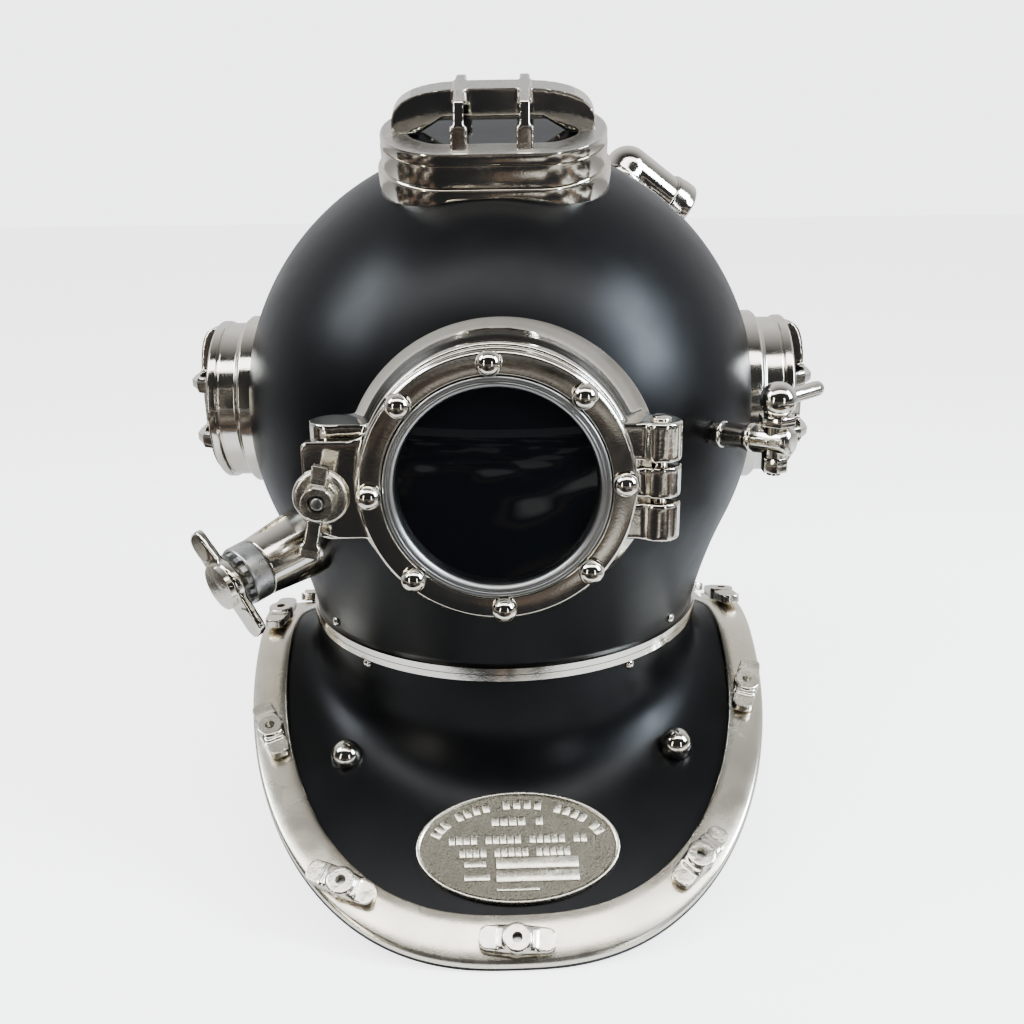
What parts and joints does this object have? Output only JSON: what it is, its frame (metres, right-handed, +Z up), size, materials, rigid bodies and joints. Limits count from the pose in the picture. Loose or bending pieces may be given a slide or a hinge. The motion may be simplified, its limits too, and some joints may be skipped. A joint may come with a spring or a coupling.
{
  "type": "decorative diving helmet",
  "caption": "Full-size deep-sea diving helmet: black domed bonnet with guarded windows and a hinged front door, twisted onto a strapped breastplate.",
  "frame": {"origin": "on the helmet's vertical axis, level with the lowest edge of the breastplate", "axes": "+Z up, -Y the way the front window looks, +X to the left of someone wearing it"},
  "size_m": [0.3832, 0.4498, 0.4461],
  "materials": {
    "satin_black": "satin black paint on spun metal",
    "polished_nickel": "polished nickel plate",
    "cast_nickel": "cast surface, polished and nickel plated",
    "antique_nickel": "darkened cast plate with bright high spots",
    "matte_metal": "brushed metal",
    "glass": "smoked glass",
    "rubber": "sealing rubber"
  },
  "bodies": {
    "breastplate": {"breastplate_shell": "satin_black", "breastplate_ring": "polished_nickel", "neck_gasket": "rubber", "collar_screws": "polished_nickel", "brale": "polished_nickel", "brale_studs": "matte_metal", "chest_studs": "polished_nickel", "nameplate": "antique_nickel"},
    "bonnet": {"bonnet_shell": "satin_black", "bonnet_ring": "polished_nickel", "bonnet_screws": "polished_nickel", "front_port_tube": "polished_nickel", "hinge_pin": "polished_nickel", "top_port_frame": "polished_nickel", "top_port_glass": "glass", "top_port_guard": "cast_nickel", "left_port_frame": "polished_nickel", "left_port_glass": "glass", "left_port_guard": "cast_nickel", "right_port_frame": "polished_nickel", "right_port_glass": "glass", "right_port_guard": "cast_nickel", "exhaust_body": "polished_nickel", "exhaust_collar": "matte_metal", "spitcock_body": "polished_nickel", "air_inlet_elbow": "polished_nickel", "air_inlet_nut": "polished_nickel"},
    "door": {"door_ring": "polished_nickel", "door_gasket": "rubber", "door_glass": "glass", "retaining_ring": "matte_metal", "door_studs": "polished_nickel"},
    "latch": {"latch_bolt": "matte_metal", "latch_washer": "cast_nickel"},
    "latch_nut": {"latch_nut": "cast_nickel"},
    "exhaust_knob": {"exhaust_knob": "cast_nickel"},
    "spitcock_lever": {"spitcock_lever": "polished_nickel"},
    "wing_nut_01": {"wing_nut_01": "cast_nickel"},
    "wing_nut_02": {"wing_nut_02": "cast_nickel"},
    "wing_nut_03": {"wing_nut_03": "cast_nickel"},
    "wing_nut_04": {"wing_nut_04": "cast_nickel"},
    "wing_nut_05": {"wing_nut_05": "cast_nickel"},
    "wing_nut_06": {"wing_nut_06": "cast_nickel"},
    "wing_nut_07": {"wing_nut_07": "cast_nickel"},
    "wing_nut_08": {"wing_nut_08": "cast_nickel"},
    "wing_nut_09": {"wing_nut_09": "cast_nickel"},
    "wing_nut_10": {"wing_nut_10": "cast_nickel"},
    "wing_nut_11": {"wing_nut_11": "cast_nickel"},
    "wing_nut_12": {"wing_nut_12": "cast_nickel"}
  },
  "joints": [
    {"name": "bonnet_twist", "type": "hinge", "parent": "breastplate", "child": "bonnet", "pos_m": [0, 0, 0.1244], "axis": [0, 0, 1], "range_deg": [0, 45]},
    {"name": "door_swing", "type": "hinge", "parent": "bonnet", "child": "door", "pos_m": [0.0826, -0.16, 0.2504], "axis": [0, 0, 1], "range_deg": [0, 120]},
    {"name": "latch_turn", "type": "hinge", "parent": "door", "child": "latch", "pos_m": [-0.0849, -0.1774, 0.2464], "axis": [0, -1, 0], "range_deg": [0, 90]},
    {"name": "latch_nut_turn", "type": "hinge", "parent": "latch", "child": "latch_nut", "pos_m": [-0.0849, -0.1774, 0.2464], "axis": [0, -1, 0], "range_deg": [0, 360]},
    {"name": "exhaust_turn", "type": "hinge", "parent": "bonnet", "child": "exhaust_knob", "pos_m": [-0.11219, -0.09316, 0.19399], "axis": [-0.6826, -0.7027, -0.2008], "range_deg": [-180, 180]},
    {"name": "spitcock_turn", "type": "hinge", "parent": "bonnet", "child": "spitcock_lever", "pos_m": [0.14742, -0.12597, 0.2602], "axis": [0, 0, 1], "range_deg": [-90, 0]},
    {"name": "wing_nut_01_turn", "type": "hinge", "parent": "breastplate", "child": "wing_nut_01", "pos_m": [0.00929, -0.21267, 0.0121], "axis": [0.0247, -0.5666, 0.8236], "range_deg": [0, 360]},
    {"name": "wing_nut_02_turn", "type": "hinge", "parent": "breastplate", "child": "wing_nut_02", "pos_m": [0.10983, -0.17405, 0.03426], "axis": [0.0224, -0.514, 0.8575], "range_deg": [0, 360]},
    {"name": "wing_nut_03_turn", "type": "hinge", "parent": "breastplate", "child": "wing_nut_03", "pos_m": [0.1516, -0.0704, 0.08416], "axis": [0.0156, -0.3578, 0.9337], "range_deg": [0, 360]},
    {"name": "wing_nut_04_turn", "type": "hinge", "parent": "breastplate", "child": "wing_nut_04", "pos_m": [0.15187, 0.02622, 0.10309], "axis": [-0.0089, 0.2047, 0.9788], "range_deg": [0, 360]},
    {"name": "wing_nut_05_turn", "type": "hinge", "parent": "breastplate", "child": "wing_nut_05", "pos_m": [0.13873, 0.10796, 0.07396], "axis": [-0.0173, 0.3959, 0.9181], "range_deg": [0, 360]},
    {"name": "wing_nut_06_turn", "type": "hinge", "parent": "breastplate", "child": "wing_nut_06", "pos_m": [0.0886, 0.1877, 0.03122], "axis": [-0.0228, 0.5217, 0.8528], "range_deg": [0, 360]},
    {"name": "wing_nut_07_turn", "type": "hinge", "parent": "breastplate", "child": "wing_nut_07", "pos_m": [-0.00929, 0.21267, 0.0121], "axis": [-0.0247, 0.5666, 0.8236], "range_deg": [0, 360]},
    {"name": "wing_nut_08_turn", "type": "hinge", "parent": "breastplate", "child": "wing_nut_08", "pos_m": [-0.10462, 0.17926, 0.03122], "axis": [-0.0228, 0.5217, 0.8528], "range_deg": [0, 360]},
    {"name": "wing_nut_09_turn", "type": "hinge", "parent": "breastplate", "child": "wing_nut_09", "pos_m": [-0.14942, 0.08591, 0.07798], "axis": [-0.0167, 0.3814, 0.9242], "range_deg": [0, 360]},
    {"name": "wing_nut_10_turn", "type": "hinge", "parent": "breastplate", "child": "wing_nut_10", "pos_m": [-0.15291, -0.00528, 0.10519], "axis": [-0.0006, 0.0146, 0.9999], "range_deg": [0, 360]},
    {"name": "wing_nut_11_turn", "type": "hinge", "parent": "breastplate", "child": "wing_nut_11", "pos_m": [-0.1392, -0.10639, 0.07465], "axis": [0.0172, -0.3935, 0.9192], "range_deg": [0, 360]},
    {"name": "wing_nut_12_turn", "type": "hinge", "parent": "breastplate", "child": "wing_nut_12", "pos_m": [-0.08567, -0.18994, 0.02975], "axis": [0.0229, -0.5253, 0.8506], "range_deg": [0, 360]}
  ]
}
